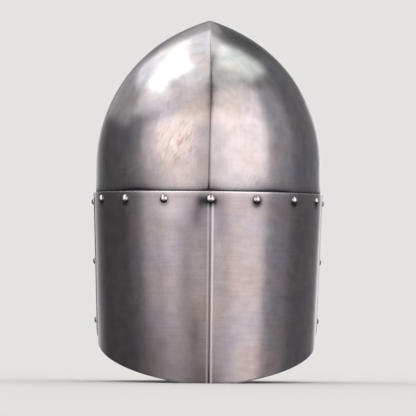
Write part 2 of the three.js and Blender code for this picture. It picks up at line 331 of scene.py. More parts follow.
def repeats(*sizes):
    """How often a pattern of a size in millimetres repeats in a metre: one number, or one for each way."""
    return 1 / (sizes[0] * MM) if len(sizes) == 1 else tuple(1 / (size * MM) for size in sizes)


def add_node(tree, kind, sockets=None, stops=None, **settings):
    """A node with its settings. A socket takes a number or colour, or another node's output, which is
    linked."""
    made = tree.nodes.new(kind)
    for key, value in settings.items():
        setattr(made, key, value)
    for key, value in (sockets or {}).items():
        if isinstance(value, bpy.types.NodeSocket):
            tree.links.new(value, made.inputs[key])
        else:
            made.inputs[key].default_value = value
    for k, (position, colour) in enumerate(stops or ()):
        ramp = made.color_ramp.elements
        stop = ramp[k] if k < 2 else ramp.new(position)
        stop.position = position
        stop.color = colour
    return made


def new_material(name):
    """An empty node material and its tree."""
    material = bpy.data.materials.new(name)
    material.use_nodes = True
    material.node_tree.nodes.clear()
    return material, material.node_tree


def ground_tone(tree, place, warm, plain, cool, rub_dark):
    """The ground sheet's colour, and the patterns of its patches and upright lines: soft clouds choose the
    tint, and the patches, the upright lines and the level lines each darken it a little."""
    # Warm and violet clouds, 40 mm across: handling and old oil
    cloud = add_node(tree, "ShaderNodeTexNoise", {
        "Vector": place, "Scale": repeats(40), "Detail": 3.0, "Roughness": 0.55})
    tint = add_node(tree, "ShaderNodeValToRGB", {"Fac": cloud.outputs["Fac"]}, [
        (0.32, hex_to_linear(cool)), (0.5, hex_to_linear(plain)), (0.68, hex_to_linear(warm))])
    # Broken patches 11 mm across, left by the rubbing block
    patch = add_node(tree, "ShaderNodeTexNoise", {
        "Vector": place, "Scale": repeats(11), "Detail": 3.0, "Roughness": 0.5})
    # Upright grinding lines, drawn about 2 mm apart to show at all, where the true ones are 0.2 mm apart
    stretched = add_node(tree, "ShaderNodeMapping", {"Vector": place, "Scale": repeats(2.1, 2.1, 62)})
    lines = add_node(tree, "ShaderNodeTexNoise", {
        "Vector": stretched.outputs["Vector"], "Scale": 1.0, "Detail": 1.0})
    # Level rubbing lines across them, as coarse
    flattened = add_node(tree, "ShaderNodeMapping", {"Vector": place, "Scale": repeats(22, 22, 1.9)})
    rubs = add_node(tree, "ShaderNodeTexNoise", {
        "Vector": flattened.outputs["Vector"], "Scale": 1.0, "Detail": 1.0})
    tone = tint.outputs["Color"]
    darkening = ((patch, 0.36, 0.62, 0.88), (lines, 0.32, 0.6, 0.955), (rubs, 0.36, 0.6, rub_dark))
    for pattern, low, high, dark in darkening:
        shade = add_node(tree, "ShaderNodeValToRGB", {"Fac": pattern.outputs["Fac"]}, [
            (low, grey(dark)), (high, grey(1.0))])
        darker = add_node(tree, "ShaderNodeMix", {
            "Factor": 1.0, UNDER: tone, OVER: shade.outputs["Color"]}, **DARKENED)
        tone = darker.outputs[MIXED]
    return tone, patch.outputs["Fac"], lines.outputs["Fac"]


def marked_tone(tree, place, tone):
    """The sheet's colour with brown stain, dark dirt with painted shade, and painted highlights in near white
    laid over it in turn, by the marks that each piece carries, and the dirt and shade mark by itself."""
    stain, dirt_and_shade, bright = (
        add_node(tree, "ShaderNodeAttribute", attribute_name=key, attribute_type="GEOMETRY").outputs["Fac"]
        for key in ("stain", "dirt_and_shade", "bright"))
    # The stain is broken into slanting strokes, 3 mm wide and 12 mm long
    slanted = add_node(tree, "ShaderNodeMapping", {
        "Vector": place, "Rotation": (0.0, -0.55, 0.0), "Scale": (3 * MM, 3 * MM, 12 * MM)},
        vector_type="TEXTURE")
    strokes = add_node(tree, "ShaderNodeTexNoise", {
        "Vector": slanted.outputs["Vector"], "Scale": 1.0, "Detail": 2.0})
    broken = add_node(tree, "ShaderNodeMapRange", {
        "Value": strokes.outputs["Fac"], "From Min": 0.5, "From Max": 0.7, "To Min": 0.15, "To Max": 1.0})
    stroke = add_node(tree, "ShaderNodeMath", {0: stain, 1: broken.outputs["Result"]}, operation="MULTIPLY")
    # The dark colour is dirt and painted shade, and the near white is painted highlight, carried by the
    # bright mark
    for share, colour in ((stroke.outputs["Value"], "9c8780"), (dirt_and_shade, "35323a"), (bright, "f4f2f4")):
        laid = add_node(tree, "ShaderNodeMix", {
            "Factor": share, UNDER: tone, OVER: hex_to_linear(colour)}, **LAID_OVER)
        tone = laid.outputs[MIXED]
    return tone, dirt_and_shade


def sheet_steel(name, warm, plain, cool, rough_low, rough_high, rub_dark):
    """Sheet steel, ground by wheel and rubbed down: a soft mirror with faint warm and violet clouds, upright
    grinding lines, broken patches of gloss, dark marks of dirt and painted shade, and painted highlights."""
    material, tree = new_material(name)
    place = add_node(tree, "ShaderNodeTexCoord").outputs["Object"]
    clean, patch, lines = ground_tone(tree, place, warm, plain, cool, rub_dark)
    base, dirt_and_shade = marked_tone(tree, place, clean)
    # Gloss: by the patches, a little duller along the lines, and dull in the dark mark of dirt and painted
    # shade
    gloss = add_node(tree, "ShaderNodeMapRange", {
        "Value": patch, "From Min": 0.3, "From Max": 0.7, "To Min": rough_low, "To Max": rough_high})
    line_gloss = add_node(tree, "ShaderNodeMath", {
        0: lines, 1: 0.05, 2: gloss.outputs["Result"]}, operation="MULTIPLY_ADD")
    dull = add_node(tree, "ShaderNodeMath", {
        0: dirt_and_shade, 1: 0.2, 2: line_gloss.outputs["Value"]}, operation="MULTIPLY_ADD", use_clamp=True)
    # Relief: 0.12 mm in the patches and half of that in the lines, both much weakened
    relief = add_node(tree, "ShaderNodeBump", {"Height": patch, "Strength": 0.06, "Distance": 0.12 * MM})
    ground = add_node(tree, "ShaderNodeBump", {
        "Height": lines, "Strength": 0.04, "Distance": 0.06 * MM, "Normal": relief.outputs["Normal"]})
    shader = add_node(tree, "ShaderNodeBsdfPrincipled", {
        "Base Color": base, "Metallic": 1.0, "Roughness": dull.outputs["Value"],
        "Normal": ground.outputs["Normal"]})
    add_node(tree, "ShaderNodeOutputMaterial", {"Surface": shader.outputs["BSDF"]})
    return material


def polished_rivet_steel():
    """Rivet steel, domed and polished: about as sharp a mirror as the sheet and brighter, with a fine mottle,
    and dark where it meets the sheet, with grime and painted shade, and dark on its underside, with painted
    shade."""
    material, tree = new_material("Mild steel rivet, domed cold and polished")
    place = add_node(tree, "ShaderNodeTexCoord").outputs["Object"]
    dirt_and_shade = add_node(tree, "ShaderNodeAttribute", attribute_name="dirt_and_shade", attribute_type="GEOMETRY")
    # Mottle 1.4 mm across: hammer marks that the polish has left
    mottle = add_node(tree, "ShaderNodeTexNoise", {"Vector": place, "Scale": repeats(1.4), "Detail": 2.0})
    tone = add_node(tree, "ShaderNodeValToRGB", {"Fac": mottle.outputs["Fac"]}, [
        (0.3, hex_to_linear("dedbdc")), (0.7, hex_to_linear("f0eeee"))])
    base = add_node(tree, "ShaderNodeMix", {
        "Factor": dirt_and_shade.outputs["Fac"], UNDER: tone.outputs["Color"], OVER: hex_to_linear("2c292a")},
        **LAID_OVER)
    rough = add_node(tree, "ShaderNodeMapRange", {
        "Value": mottle.outputs["Fac"], "From Min": 0.3, "From Max": 0.7, "To Min": 0.21, "To Max": 0.26})
    shader = add_node(tree, "ShaderNodeBsdfPrincipled", {
        "Base Color": base.outputs[MIXED], "Metallic": 1.0, "Roughness": rough.outputs["Result"]})
    add_node(tree, "ShaderNodeOutputMaterial", {"Surface": shader.outputs["BSDF"]})
    return material


def black_inside_shade():
    """Near black inside, painted shade for the dark inside of the helm, brushed on: a low, broken sheen that
    shows the brush.
    """
    material, tree = new_material("Black inside as painted shade, brushed on and left satin")
    place = add_node(tree, "ShaderNodeTexCoord").outputs["Object"]
    # Brush strokes 5 mm wide, run upright
    stretched = add_node(tree, "ShaderNodeMapping", {"Vector": place, "Scale": repeats(4.8, 4.8, 55)})
    strokes = add_node(tree, "ShaderNodeTexNoise", {
        "Vector": stretched.outputs["Vector"], "Scale": 1.0, "Detail": 3.0})
    rough = add_node(tree, "ShaderNodeMapRange", {
        "Value": strokes.outputs["Fac"], "From Min": 0.3, "From Max": 0.7, "To Min": 0.42, "To Max": 0.62})
    relief = add_node(tree, "ShaderNodeBump", {
        "Height": strokes.outputs["Fac"], "Strength": 0.25, "Distance": 0.3 * MM})
    shader = add_node(tree, "ShaderNodeBsdfPrincipled", {
        "Base Color": hex_to_linear("141314"), "Roughness": rough.outputs["Result"],
        "Normal": relief.outputs["Normal"]})
    add_node(tree, "ShaderNodeOutputMaterial", {"Surface": shader.outputs["BSDF"]})
    return material


def matt_floor_paint():
    """Emulsion paint, rolled on: pale and quite matt, with no shine at all."""
    material, tree = new_material("Emulsion paint, rolled matt")
    shader = add_node(tree, "ShaderNodeBsdfPrincipled", {
        "Base Color": hex_to_linear("e6e4e2"), "Roughness": 0.9, "Specular IOR Level": 0.0})
    add_node(tree, "ShaderNodeOutputMaterial", {"Surface": shader.outputs["BSDF"]})
    return material


crown_steel = sheet_steel(
    "Mild steel sheet, raised and polished", warm="d8cdca", plain="d6d1d3", cool="cfcdd7",
    rough_low=0.2, rough_high=0.215, rub_dark=0.98)
plate_steel = sheet_steel(
    "Mild steel sheet, rolled and rubbed satin", warm="bbaeac", plain="b7b0b2", cool="afacb7",
    rough_low=0.215, rough_high=0.235, rub_dark=0.94)
rivet_steel = polished_rivet_steel()
inside_black_shade = black_inside_shade()
floor_paint = matt_floor_paint()

# Marks of handling, with painted shade and painted highlights

# Soft patches: strength, run and height of the middle, and reach along the run and up and down
# Darker at the back ridge's foot, and painted shade low on both sides where the highlights end
CROWN_DARK_PATCHES = ((0.35, 0, 0, 9, 8), (0.5, 74, 2, 24, 20), (0.38, -60, 0, 20, 11))
CROWN_STAIN = ((0.58, 22, 40, 11, 20), (0.45, 42, 44, 22, 24), (0.5, -40, 6, 22, 8))
# A painted highlight along the ridge, high on the crown
CROWN_PAINTED_HIGHLIGHT = ((0.2, 4, 130, 3.5, 30),)
# Painted shade on the back: by the middle rivet, down both sides of the ridge, at the foot, and low on the
# wearer's left
BACK_PAINTED_SHADE = (
    (0.75, 7.5, -8, 4.5, 7), (0.5, 11.5, -20, 5.5, 13), (0.3, -7, -9, 5, 7), (0.2, -10, -24, 6, 13),
    (0.4, 12, -122, 6, 22), (0.55, 6, -164, 16, 22), (0.33, 21, -75, 9, 70), (0.16, -14, -80, 8, 80),
    (0.52, 58, -150, 34, 48))
BACK_STAIN = ((0.35, 19, -75, 9, 65), (0.25, -12, -60, 9, 45))
# Painted highlights beside the ridge, on the wearer's left, near the top
BACK_PAINTED_HIGHLIGHT = ((0.36, 42, -14, 21, 12), (0.12, 43, -46, 14, 11))
# Two faint darker patches, either side of the face's ridge below the top edge
FACE_DARK_PATCHES = ((0.25, 7, -18, 6, 14), (0.25, -7, -18, 6, 14))
FACE_STAIN = ((0.4, -20, -120, 22, 40), (0.35, 30, -60, 20, 30))

# Painted shade above the plates' top edge, and painted highlights along the edges of a plate: strength and
# reach
CROWN_FOOT_SHADE = ((0.95, 1.9), (0.3, 10))
# Painted highlights: bright lines along the top edges of the plates and the ends of the laps
BACK_TOP_HIGHLIGHT = ((0.9, 0.7), (0.25, 3.2))
FACE_TOP_HIGHLIGHT = (0.9, 0.7)
LAP_END_HIGHLIGHT = (0.6, 0.7)

# The crown's dark crease wanders beside the ridge, and fades out towards the point
CREASE_STRENGTH = 0.62
CREASE_REACH = 0.75
CREASE_ASIDE = 1.3
CREASE_WANDER = 0.6
CREASE_WANDER_LENGTH = 31
CREASE_FADE = (168, 120)

# The back plate's ridge: a painted dark line of shade between two painted highlights, each highlight by its
# strength, run and reach
BACK_CREASE_RUN = 0.2
BACK_CREASE_REACH = 0.7
BACK_CREASE_STRENGTH = (0.25, 0.3)
BACK_CREASE_DEEPENS = (-20, -55)
BACK_RIDGE_HIGHLIGHT = ((0.7, -1.6, 0.75), (0.5, 1.9, 0.7))
BACK_RIDGE_BEGINS = (-9, -14)
FACE_RIDGE_HIGHLIGHT = (0.4, 0.9)
FACE_RIDGE_BEGINS = (-8, -14)

# Dark rings round the rivet heads, set a little below each: grime round the heads and painted shade under
# them, a dark ring and a faint wide one
RING_DROP = 1.5
RING_STRENGTH = 0.92
RING_REACH = HEAD_RADIUS + 1.4
HALO_STRENGTH = 0.24
HALO_REACH = 8


def patches(run, z, spots):
    """Soft patches: the sum of each spot's strength times a bell curve along the run and one up and down."""
    return sum(
        strength * bell(run - at_run, wide) * bell(z - at_z, tall)
        for strength, at_run, at_z, wide, tall in spots)


def rivet_rings(run, z, spots):
    """Rings round the rivets, of grime and painted shade under the heads: a flat-topped bell, with the fourth
    power of distance over reach, and a wide bell curve."""
    total = 0
    for spot_run, spot_z in spots:
        distance = np.hypot(run - spot_run, z - spot_z + RING_DROP)
        total = total + RING_STRENGTH * np.exp(-((distance / RING_REACH) ** 4))
        total = total + HALO_STRENGTH * bell(distance, HALO_REACH)
    return total


def crown_marks(run, z):
    """Painted shade at the crown's foot, which dies away with height, the crease, and soft patches of painted
    shade, stain and painted highlight.
    """
    # Painted shade: a dark contact line along the plates' top edge, and the crown darker towards its foot
    dirt_and_shade = sum(strength * np.exp(-np.maximum(0, z) / reach) for strength, reach in CROWN_FOOT_SHADE)
    middle = CREASE_ASIDE + CREASE_WANDER * np.cos(z / CREASE_WANDER_LENGTH)
    aside = np.minimum(np.abs(run - middle), HALF_ROUND - np.abs(run))
    dirt_and_shade = dirt_and_shade + CREASE_STRENGTH * bell(aside, CREASE_REACH) * smooth_step(z, *CREASE_FADE)
    return {
        "dirt_and_shade": dirt_and_shade + patches(run, z, CROWN_DARK_PATCHES), "stain": patches(run, z, CROWN_STAIN),
        "bright": patches(run, z, CROWN_PAINTED_HIGHLIGHT)}


def back_marks(run, z):
    """Rings of grime and painted shade round the back row's rivets, soft patches of painted shade, painted
    highlight and stain, the ridge's painted dark line, and painted highlights at the ridge and the top edge.
    """
    below = smooth_step(z, *BACK_RIDGE_BEGINS)
    plain, deeper = BACK_CREASE_STRENGTH
    dirt_and_shade = rivet_rings(run, z, [(r, -ROW_DROP) for r in BACK_ROW_RUNS]) + patches(run, z, BACK_PAINTED_SHADE)
    # Painted shade: a dark line down the ridge, deeper lower down
    dirt_and_shade = dirt_and_shade + bell(run - BACK_CREASE_RUN, BACK_CREASE_REACH) * below * (
        plain + deeper * smooth_step(z, *BACK_CREASE_DEEPENS))
    # Painted highlights: along the top edge, in patches beside the ridge, and on both edges of the ridge
    bright = sum(strength * bell(z, reach) for strength, reach in BACK_TOP_HIGHLIGHT)
    bright = bright + patches(run, z, BACK_PAINTED_HIGHLIGHT)
    bright = bright + below * sum(s * bell(run - at, reach) for s, at, reach in BACK_RIDGE_HIGHLIGHT)
    return {"dirt_and_shade": dirt_and_shade, "stain": patches(run, z, BACK_STAIN), "bright": bright}


def face_marks(run, z):
    """Rings of grime and painted shade round the face row's and the seams' rivets, soft darker patches and
    stains, and painted highlights at top, laps and ridge.
    """
    spots = [(r, -ROW_DROP) for r in FACE_ROW_RUNS]
    spots += [(side * (FACE.length - SEAM_BEFORE_SIDE), -drop) for side in (-1, 1) for drop in SEAM_DROPS]
    to_lap_end = FACE.length + LAP_BEHIND_SIDE - np.abs(run)
    # Painted highlights along the top edge, at the laps' ends and along the ridge
    bright = FACE_TOP_HIGHLIGHT[0] * bell(z, FACE_TOP_HIGHLIGHT[1])
    bright = bright + LAP_END_HIGHLIGHT[0] * bell(to_lap_end, LAP_END_HIGHLIGHT[1])
    ridge = FACE_RIDGE_HIGHLIGHT[0] * bell(run, FACE_RIDGE_HIGHLIGHT[1])
    bright = bright + ridge * smooth_step(z, *FACE_RIDGE_BEGINS)
    dirt_and_shade = rivet_rings(run, z, spots) + patches(run, z, FACE_DARK_PATCHES)
    return {"dirt_and_shade": dirt_and_shade, "stain": patches(run, z, FACE_STAIN), "bright": bright}


# Crown

# Grid lines: rows from the point to the skirt, columns round the plan, crowded to the point and the ridges
UPPER_ARC_ROWS = 26
LOWER_ARC_ROWS = 62
WALL_MARKS = (CROWN_WALL, 16.0, 5.0, 0.0)
WALL_STEPS = (6, 12, 9)
SKIRT_ROWS = 8
SKIRT_EDGE_ROWS = 7
BACK_COLUMNS = 84
FACE_COLUMNS = 78
POINT_CROWDING = 1.4
RIDGE_CROWDING = 1.8
# Inside, every second row from here down. Above it a plain cone closes the narrow top, where the slopes of a
# ridge would pass through each other.
INSIDE_FIRST_ROW = 15
INSIDE_POINT_DROP = 1.1 * SHEET
# The hammer waves die away over this share of the crown's width at the point
WAVE_FREE_POINT = 0.25


def crown_outline():
    """The crown's outline from its point down, by the turn from upright: two arcs and a straight wall."""
    radius_step = UPPER_ARC_RADIUS - LOWER_ARC_RADIUS
    centre = HALF_WIDTH - LOWER_ARC_RADIUS - radius_step * math.cos(LOWER_ARC_TURN)
    centre_z = CROWN_WALL - radius_step * math.sin(LOWER_ARC_TURN)
    point_turn = math.acos(-centre / UPPER_ARC_RADIUS)
    share = np.linspace(0, 1, UPPER_ARC_ROWS) ** POINT_CROWDING
    turn = point_turn + (LOWER_ARC_TURN - point_turn) * share
    half = centre + UPPER_ARC_RADIUS * np.cos(turn)
    half[0] = 0.0
    blunt = np.hypot(half, POINT_EASE * bell(half, POINT_EASE_REACH))
    z = centre_z + np.sqrt(UPPER_ARC_RADIUS**2 - (blunt - centre) ** 2)
    low_turn = np.linspace(LOWER_ARC_TURN, 0, LOWER_ARC_ROWS)[1:]
    low_half = HALF_WIDTH - LOWER_ARC_RADIUS * (1 - np.cos(low_turn))
    low_z = CROWN_WALL + LOWER_ARC_RADIUS * np.sin(low_turn)
    wall_z = graded(WALL_MARKS, WALL_STEPS)[1:]
    half = np.concatenate([half, low_half, np.full(len(wall_z), HALF_WIDTH)])
    z = np.concatenate([z, low_z, wall_z])
    turn = np.concatenate([turn, low_turn, np.zeros(len(wall_z))])
    return half, z, turn


def crown_runs():
    """Runs all the way round from the back ridge, closer together near both ridges by a power."""
    back = BACK.length * np.linspace(0, 1, BACK_COLUMNS) ** RIDGE_CROWDING
    face = HALF_ROUND - FACE.length * np.linspace(1, 0, FACE_COLUMNS)[1:] ** RIDGE_CROWDING
    half = np.concatenate([back, face])
    return np.concatenate([half, -half[-2:0:-1]])


def crown_piece():
    """The crown: its outline from point to skirt, round the skirt's edge and back up inside, carried round
    the plan. Each point is the plan scaled by the outline's half width and moved in by its place in the
    sheet."""
    half, z, turn = crown_outline()
    scale = half / HALF_WIDTH
    skirt_z = np.linspace(0, -CROWN_SKIRT + EDGE_ROUND, SKIRT_ROWS)[1:]
    across, past = (values[1:-1] for values in filed_edge(SKIRT_EDGE_ROWS))
    low_z = np.concatenate([skirt_z, -CROWN_SKIRT + EDGE_ROUND - past, skirt_z[::-1]])
    inner = slice(INSIDE_FIRST_ROW, None, 2)
    inner_z, inner_scale, inner_turn = z[inner][::-1], scale[inner][::-1], turn[inner][::-1]
    scale_x = np.concatenate([scale, 1 + SIDE_TAPER * low_z / HALF_WIDTH, inner_scale, [0]])
    scale_y = np.concatenate([scale, np.ones(len(low_z)), inner_scale, [0]])
    height = np.concatenate([z, low_z, inner_z, [z[0] - INSIDE_POINT_DROP]])
    slope = np.concatenate([np.tan(turn), np.zeros(len(low_z)), np.tan(inner_turn), [0]])
    offset = np.concatenate([
        np.zeros(len(z) + len(skirt_z)), (across - 1) * SHEET,
        np.full(len(skirt_z) + len(inner_z), -SHEET), [0]])
    runs = crown_runs()
    place = tuple(values[:, None] for values in place_at(BACK, runs, CROWN_RIDGE_EASE))
    points = wall(place, scale_x, scale_y, height, slope, offset)
    points = hammered(points, place, np.minimum(1, scale_y / WAVE_FREE_POINT))
    marks = crown_marks(*np.broadcast_arrays(runs[:, None], height))
    quads = grid_quads(len(runs), len(height), closed_rows=True)
    first_inside = len(z) + len(skirt_z) + len(across) - 1
    painted = np.tile(np.arange(len(height) - 1) >= first_inside, len(runs))
    piece = build_mesh("crown_shell", points, quads, marks, (crown_steel, inside_black_shade), painted)
    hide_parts("crown")
    return piece


# Lower plates

# Grid lines: shares of a plate's height, runs along it, and lines in its filed edges and half a filed end
PLATE_MARKS = (0.0, 0.03, 0.1, 0.94, 1.0)
PLATE_STEPS = (4, 5, 40, 6)
BACK_RUN_MARKS = (0.0, 4.0, 12.0, 60.0)
BACK_RUN_STEPS = (10, 8, 32, 86)
FACE_RUN_MARKS = (0.0, 4.0, 12.0, 90.0, LAP_STEP_FOOT)
FACE_RUN_STEPS = (10, 8, 44, 40, 26)
FOOT_CORNER_COLUMNS = 17
PLATE_EDGE_ROWS = 8
PLATE_END_ROWS = 7
PLATE_END_CLEAR = 0.6


def plate_profile():
    """One loop round a plate's section, down outside and up inside: shares of its height from top (0) to foot
    (1), distances past the top and the foot, shares across the sheet, and which of its steps are painted."""
    down = graded(PLATE_MARKS, PLATE_STEPS)
    across, past = (values[1:-1] for values in filed_edge(PLATE_EDGE_ROWS))
    no_side, no_edge = np.zeros(len(down)), np.zeros(len(past))
    share = np.concatenate([down, no_edge + 1, down[::-1], no_edge])
    below = np.concatenate([no_side, past, no_side, no_edge])
    above = np.concatenate([no_side, no_edge, no_side, past])
    sheet = np.concatenate([no_side + 1, across, no_side, across[::-1]])
    step = np.arange(len(share))
    painted = (step >= len(down) + len(past) - 1) & (step < 2 * len(down) + len(past))
    return share, above, below, sheet, painted


def plate_piece(name, home, runs, top, edge, inner_offset, node, marks_at, turned):
    """A lower plate: the section loop carried along the runs. The section's height goes from the plate's top
    edge to its lower edge or the floor, and at both ends the sheet closes in a filed edge. turned says that
    its runs go round the plan the other way, so that its faces have to be turned round."""
    across, past = (values[:PLATE_END_ROWS] for values in filed_edge(2 * PLATE_END_ROWS - 1))
    low, high = runs[0], runs[-1]
    between = runs[(runs > low + PLATE_END_CLEAR) & (runs < high - PLATE_END_CLEAR)]
    all_runs = np.concatenate([low + EDGE_ROUND - past[::-1], between, high - EDGE_ROUND + past])
    thin = 2 * (across - 0.5)
    thick = np.concatenate([thin[::-1], np.ones(len(between)), thin])[:, None]
    share, above, below, sheet, painted = plate_profile()
    place = tuple(values[:, None] for values in place_at(home, all_runs, PLATE_RIDGE_EASE))
    run = all_runs[:, None]
    inside = inner_offset(run)
    outer_y = plate_wall(place, 0.0, inside + SHEET)[..., 1]
    inner_y = plate_wall(place, 0.0, inside)[..., 1]
    outer_foot = np.maximum(edge(run), rest_height(outer_y))
    foot = outer_foot + REST_SLOPE * (inner_y - outer_y) * (0.5 - (sheet - 0.5) * thick)
    first, last = top(run) - EDGE_ROUND, foot + EDGE_ROUND
    z = first + (last - first) * share + above - below
    points = plate_wall(place, z, inside + SHEET * (0.5 + (sheet - 0.5) * thick))
    points = hammered(points, place)
    marks = marks_at(*np.broadcast_arrays(run, z))
    quads = grid_quads(len(all_runs), len(share), closed_columns=True)
    if turned:
        quads = quads[:, ::-1]
    painted = np.tile(painted, len(all_runs) - 1)
    piece = build_mesh(name, points, quads, marks, (plate_steel, inside_black_shade), painted)
    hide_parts(node)
    return piece


def corner_cut(distance, radius):
    """How far a rounded corner cuts in, at a distance from the end of the edge."""
    short = np.clip(radius - distance, 0, radius)
    return radius - np.sqrt(radius**2 - short**2)


def both_ways(half):
    """Runs to the one side and the other, from a row that starts at the ridge."""
    return np.concatenate([-half[:0:-1], half])


def back_plate_piece():
    """The back plate: a level top, a bowed lower edge, one gap outside the crown."""
    end = BACK.length + LAP_BEFORE_SIDE
    half = graded((*BACK_RUN_MARKS, end), BACK_RUN_STEPS)
    return plate_piece(
        "back_plate_sheet", BACK, both_ways(half),
        lambda run: 0 * run,
        back_edge,
        lambda run: GAP + 0 * run, "back_plate", back_marks, turned=False)


def face_offset(run):
    """How far the face plate's inside stands out: one gap, and by a smooth step one sheet and gap more at the
    laps."""
    return GAP + (SHEET + GAP) * smooth_step(np.abs(run), LAP_STEP_FOOT, LAP_STEP_TOP)


# The bars that cut the sights and breaths: how finely they are drawn, and from where to where they go
SIGHT_END_STEPS = 24
SIGHT_BAR_START = -200.0
SIGHT_BAR_END = -10.0
BREATH_SIDES = 28
BREATH_BAR_HALF = 15
CUT_SHARP_ANGLE = math.radians(50)


def bar(outline, start, end):
    """A closed bar's grid points: an outline carried from a start to an end, both moves, with a pole at
    each."""
    middle = np.broadcast_to(outline.mean(0), outline.shape)
    return np.stack([middle + start, outline + start, outline + end, middle + end], 1)


def sight_bar(side):
    """A sight's bar: two half circles joined by straight runs, carried straight back through the face."""
    radius = SIGHT_HEIGHT / 2
    turn = np.linspace(-math.pi / 2, math.pi / 2, SIGHT_END_STEPS)
    far_end = np.stack([SIGHT_FAR - radius + radius * np.cos(turn), radius * np.sin(turn)], -1)
    near_end = np.stack([SIGHT_NEAR + radius - radius * np.cos(turn), -radius * np.sin(turn)], -1)
    ring = np.concatenate([far_end, near_end])[::-side]
    outline = np.stack([side * ring[:, 0], np.zeros(len(ring)), ring[:, 1] - SIGHT_DROP], -1)
    return bar(outline, np.array([0, SIGHT_BAR_START, 0]), np.array([0, SIGHT_BAR_END, 0]))


def breath_bar(run, drop):
    """A breath's bar: a circle carried through the wall along its normal."""
    x, y, nx, ny = place_at(FACE, run)
    turn = np.linspace(0, 2 * math.pi, BREATH_SIDES, endpoint=False)
    flat = BREATH_RADIUS * np.cos(turn)
    outline = np.stack([x + ny * flat, y - nx * flat, BREATH_RADIUS * np.sin(turn) - drop], -1)
    out = BREATH_BAR_HALF * np.array([nx, ny, 0])
    return bar(outline, out, -out)


def cut_out(piece, bars):
    """The piece with all the bars taken out of it at once. The bars are then thrown away."""
    quads, count = [], 0
    for points in bars:
        quads.append(grid_quads(*points.shape[:2], closed_rows=True) + count)
        count += points.shape[0] * points.shape[1]
    joined = np.concatenate([points.reshape(-1, 3) for points in bars])
    cutter = build_mesh("bars", joined, np.concatenate(quads), {}, (plate_steel, inside_black_shade))
    cut = piece.modifiers.new("cut", "BOOLEAN")
    cut.operation = "DIFFERENCE"
    cut.solver = "EXACT"
    cut.object = cutter
    shape = piece.evaluated_get(bpy.context.evaluated_depsgraph_get())
    whole = bpy.data.meshes.new_from_object(shape)
    piece.modifiers.clear()
    piece.data = whole
    whole.set_sharp_from_angle(angle=CUT_SHARP_ANGLE)
    bpy.data.objects.remove(cutter)
    return piece


def face_plate_piece():
    """The face plate: it runs down to a point, steps out over the back plate at both sides, and has rounded
    corners there. The sights and breaths are cut out of it."""
    end = FACE.length + LAP_BEHIND_SIDE
    half = graded((*FACE_RUN_MARKS, end - LAP_FOOT_CORNER), FACE_RUN_STEPS)
    corner = end - LAP_FOOT_CORNER * (1 - np.linspace(0, 1, FOOT_CORNER_COLUMNS)[1:]) ** 2
    piece = plate_piece(
        "face_plate_sheet", FACE, both_ways(np.concatenate([half, corner])),
        lambda run: -corner_cut(end - np.abs(run), LAP_TOP_CORNER),
        lambda run: face_edge(run) + corner_cut(end - np.abs(run), LAP_FOOT_CORNER),
        face_offset, "face_plate", face_marks, turned=True)
    bars = [sight_bar(1), sight_bar(-1)]
    for side in (-1, 1):
        for row in range(BREATH_ROWS):
            for column in range(BREATH_COLUMNS):
                run = BREATH_FIRST_RUN + BREATH_PITCH * (column + (row % 2) / 2)
                bars.append(breath_bar(side * run, BREATH_FIRST_DROP + BREATH_ROW_PITCH * row))
    return cut_out(piece, bars)


# Rivets

# How finely they are drawn, how far they are out of true, as hand-set rivets are, and how the grime and the
# painted shade lie
RIVET_SIDES = 30
DOME_ROWS = 12
HEAD_RADIUS_SPREAD = (0.97, 1.03)
HEAD_HEIGHT_SPREAD = (0.95, 1.04)
HEAD_TIP_SPREAD = 0.02
GRIME_AND_SHADE_HEIGHT = 0.35
UNDERSIDE_SHADE = 0.95
UNDERSIDE_REACH = (0.2, -1.9)


def rivet_piece(name, home, run, z, seat, grip):
    """A rivet: a profile of foot, shank and dome, turned round a spindle that stands square to the sheet."""
    x, y, nx, ny = (float(value) for value in place_at(home, run, PLATE_RIDGE_EASE))
    radius = HEAD_RADIUS * rng.uniform(*HEAD_RADIUS_SPREAD)
    high = HEAD_HEIGHT * rng.uniform(*HEAD_HEIGHT_SPREAD)
    dome = (radius**2 + high**2) / (2 * high)
    turn = np.linspace(math.asin(radius / dome), 0, DOME_ROWS)
    deep = FOOT_RADIUS * math.tan(home.start) if run == 0 else 0.0
    foot = -grip - FOOT_CLEAR - deep
    under = -HEAD_SUNK - deep
    # Reach from the spindle and level along it, from the foot's end out and round to the top of the dome
    profile = np.array([
        (0, foot - FOOT_HEIGHT), (FOOT_FLAT_RADIUS, foot - FOOT_HEIGHT),
        (FOOT_SHOULDER_RADIUS, foot - FOOT_SHOULDER_HEIGHT), (FOOT_RADIUS, foot),
        (SHANK_RADIUS, foot), (SHANK_RADIUS, under - NECK_FILLET), (radius, under)])
    reach = np.concatenate([profile[:, 0], dome * np.sin(turn)])
    level = np.concatenate([profile[:, 1], high - dome + dome * np.cos(turn)])
    reach[-1] = 0.0
    round_turn = np.linspace(0, 2 * math.pi, RIVET_SIDES, endpoint=False)[:, None]
    out = np.array([nx, ny, 0])
    side = np.array([ny, -nx, 0])
    up = np.array([0, 0, 1.0])
    centre = plate_wall((x, y, nx, ny), z, seat)
    tip = rng.normal(0, HEAD_TIP_SPREAD, 2)
    spindle = out + side * tip[0] + up * tip[1]
    ring = np.cos(round_turn)[..., None] * side + np.sin(round_turn)[..., None] * up
    points = centre + level[:, None] * spindle + reach[:, None] * ring
    # Grime and painted shade round the foot of the head, and painted shade darkening its underside
    dirt_and_shade = np.exp(-np.maximum(0, level) / GRIME_AND_SHADE_HEIGHT)
    dirt_and_shade = dirt_and_shade + UNDERSIDE_SHADE * smooth_step(reach * np.sin(round_turn), *UNDERSIDE_REACH)
    quads = grid_quads(RIVET_SIDES, len(level), closed_rows=True)[:, ::-1]
    piece = build_mesh(name + "_turned", points, quads, {"dirt_and_shade": dirt_and_shade}, (rivet_steel,))
    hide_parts(name)
    return piece


